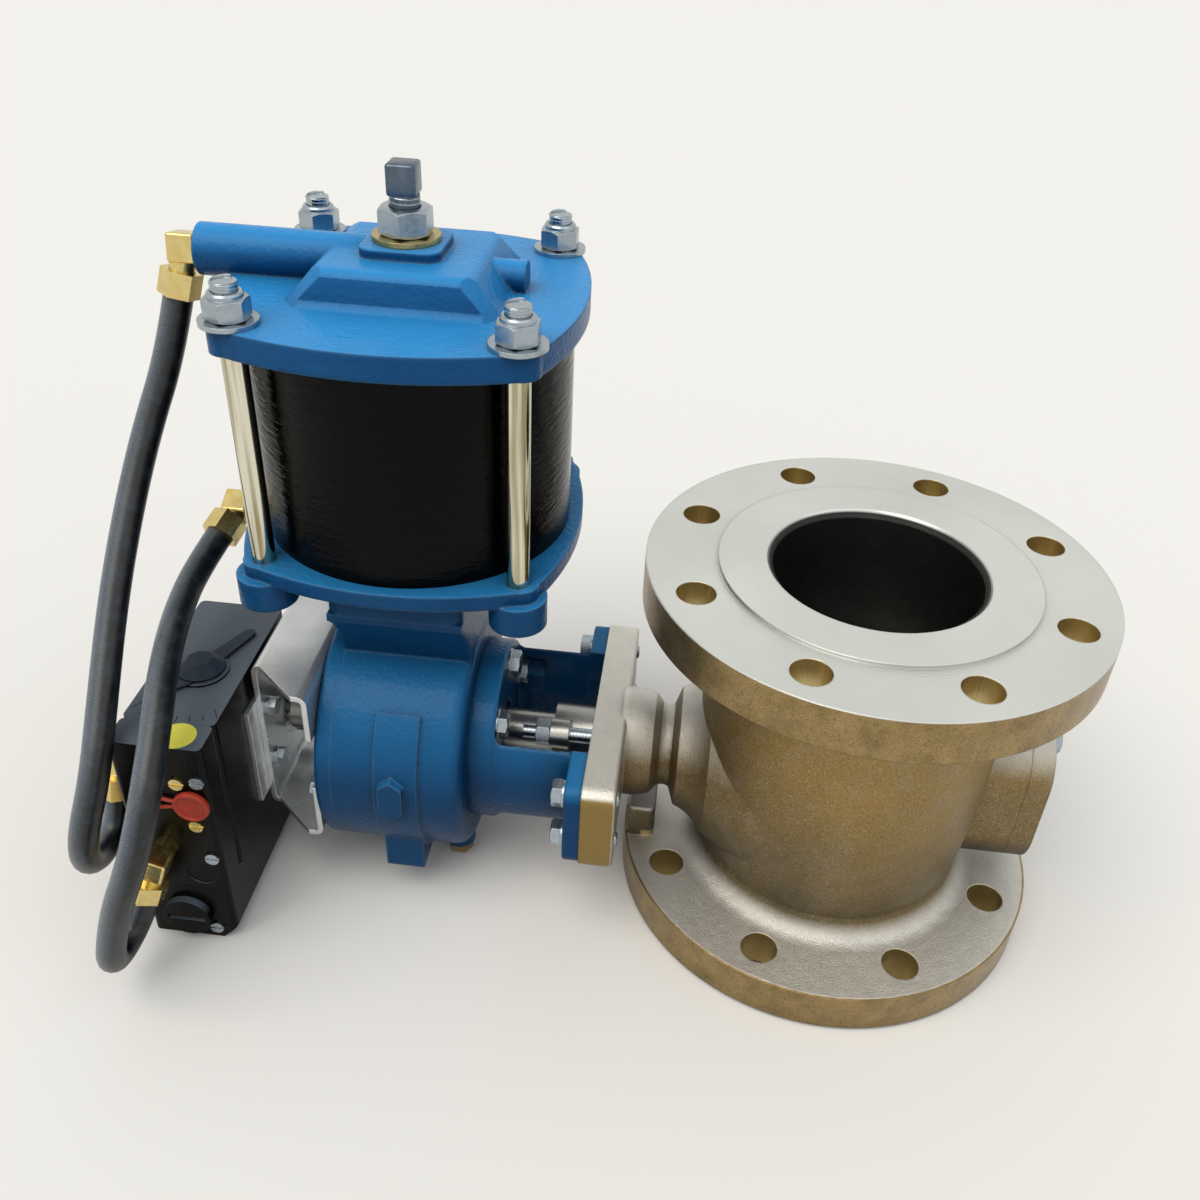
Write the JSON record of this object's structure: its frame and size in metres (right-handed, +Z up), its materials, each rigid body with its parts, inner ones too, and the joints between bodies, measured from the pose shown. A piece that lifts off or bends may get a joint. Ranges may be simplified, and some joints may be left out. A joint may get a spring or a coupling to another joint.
{
  "type": "control valve",
  "caption": "Flanged segment ball control valve: quarter turn shaft, yoke, tie rod cylinder with rack and pinion, bracket with positioner, dial pointer and air hoses.",
  "frame": {"origin": "centre of the lower flange's raised face, on the axis of the pipe bore", "axes": "+Z up the pipe bore to the other flange, +X along the valve shaft from the actuator to the end cap, -Y the front that the picture shows"},
  "size_m": [0.4983, 0.2755, 0.38],
  "materials": {
    "cast_stainless": "cast stainless steel, flange faces and rims machined",
    "machined_steel": "machined stainless steel",
    "blue_paint": "petrol blue gloss paint on cast iron",
    "black_gloss_paint": "gloss black paint on steel tube",
    "bright_chrome": "hard chrome, polished",
    "zinc_plate": "clear zinc plate",
    "yellow_zinc": "yellow zinc plate",
    "brass": "machined brass",
    "bronze": "sintered bronze",
    "sealing": "pressed PTFE packing",
    "seal_rubber": "nitrile rubber",
    "hose_rubber": "smooth black hose",
    "red_rubber": "soft red rubber",
    "positioner_black": "black stoved paint on die cast aluminium",
    "polished_stainless": "polished stainless sheet",
    "pointer_dark": "dark moulded plastic",
    "piston_aluminium": "machined aluminium",
    "plug_tan": "moulded plastic plug"
  },
  "bodies": {
    "valve_frame": {"actuator_housing": "blue_paint", "bracket_screws": "zinc_plate", "conduit_plug": "positioner_black", "cover_screws": "zinc_plate", "cylinder_tube": "black_gloss_paint", "drain_plug": "plug_tan", "end_cap": "cast_stainless", "end_cap_bolts": "zinc_plate", "gland_follower": "machined_steel", "gland_nuts": "zinc_plate", "gland_studs": "zinc_plate", "head_screws": "zinc_plate", "hose_elbows": "brass", "hose_lower": "hose_rubber", "hose_nuts": "brass", "hose_upper": "hose_rubber", "housing_cover": "blue_paint", "lower_head": "blue_paint", "mounting_block": "polished_stainless", "packing_rings": "sealing", "pinion_bushings": "bronze", "positioner_base": "positioner_black", "positioner_body": "positioner_black", "positioner_bolts": "zinc_plate", "positioner_bracket": "polished_stainless", "positioner_front": "positioner_black", "positioner_screws": "zinc_plate", "rod_seal": "seal_rubber", "rubber_cap": "red_rubber", "seat_retainer": "machined_steel", "seat_ring": "machined_steel", "seat_spring": "machined_steel", "shaft_bushings": "bronze", "stop_screw": "zinc_plate", "stop_screw_nut": "zinc_plate", "stop_screw_washer": "yellow_zinc", "tie_rod_nuts": "zinc_plate", "tie_rod_washers": "zinc_plate", "tie_rods": "bright_chrome", "tube_seals": "seal_rubber", "upper_head": "blue_paint", "valve_body": "cast_stainless", "vent_plugs": "brass", "yoke": "blue_paint", "yoke_actuator_bolts": "zinc_plate", "yoke_valve_bolts": "zinc_plate"},
    "valve_shaft": {"segment_ball": "machined_steel", "drive_shaft": "machined_steel", "trunnion_shaft": "machined_steel", "segment_pins": "machined_steel", "pinion": "machined_steel", "pinion_pin": "machined_steel", "shaft_coupling": "machined_steel", "feedback_spindle": "machined_steel"},
    "piston_rod": {"rack_rod": "machined_steel", "piston": "piston_aluminium", "piston_seals": "seal_rubber"},
    "dial_pointer": {"pointer": "pointer_dark"}
  },
  "joints": [
    {"name": "shaft_turn", "type": "hinge", "parent": "valve_frame", "child": "valve_shaft", "pos_m": [0, 0, 0.08], "axis": [1, 0, 0], "range_deg": [0, 90]},
    {"name": "piston_travel", "type": "slide", "parent": "valve_frame", "child": "piston_rod", "axis": [0, 0, 1], "range_m": [0, 0.0252]},
    {"name": "pointer_turn", "type": "hinge", "parent": "valve_frame", "child": "dial_pointer", "pos_m": [-0.336, -0.0437, 0.1367], "axis": [0, 0, 1], "range_deg": [0, 90.05]}
  ],
  "couplings": [
    {"joint": "piston_travel", "follows": "shaft_turn", "m_per_rad": 0.016},
    {"joint": "pointer_turn", "follows": "shaft_turn", "ratio": 1}
  ]
}
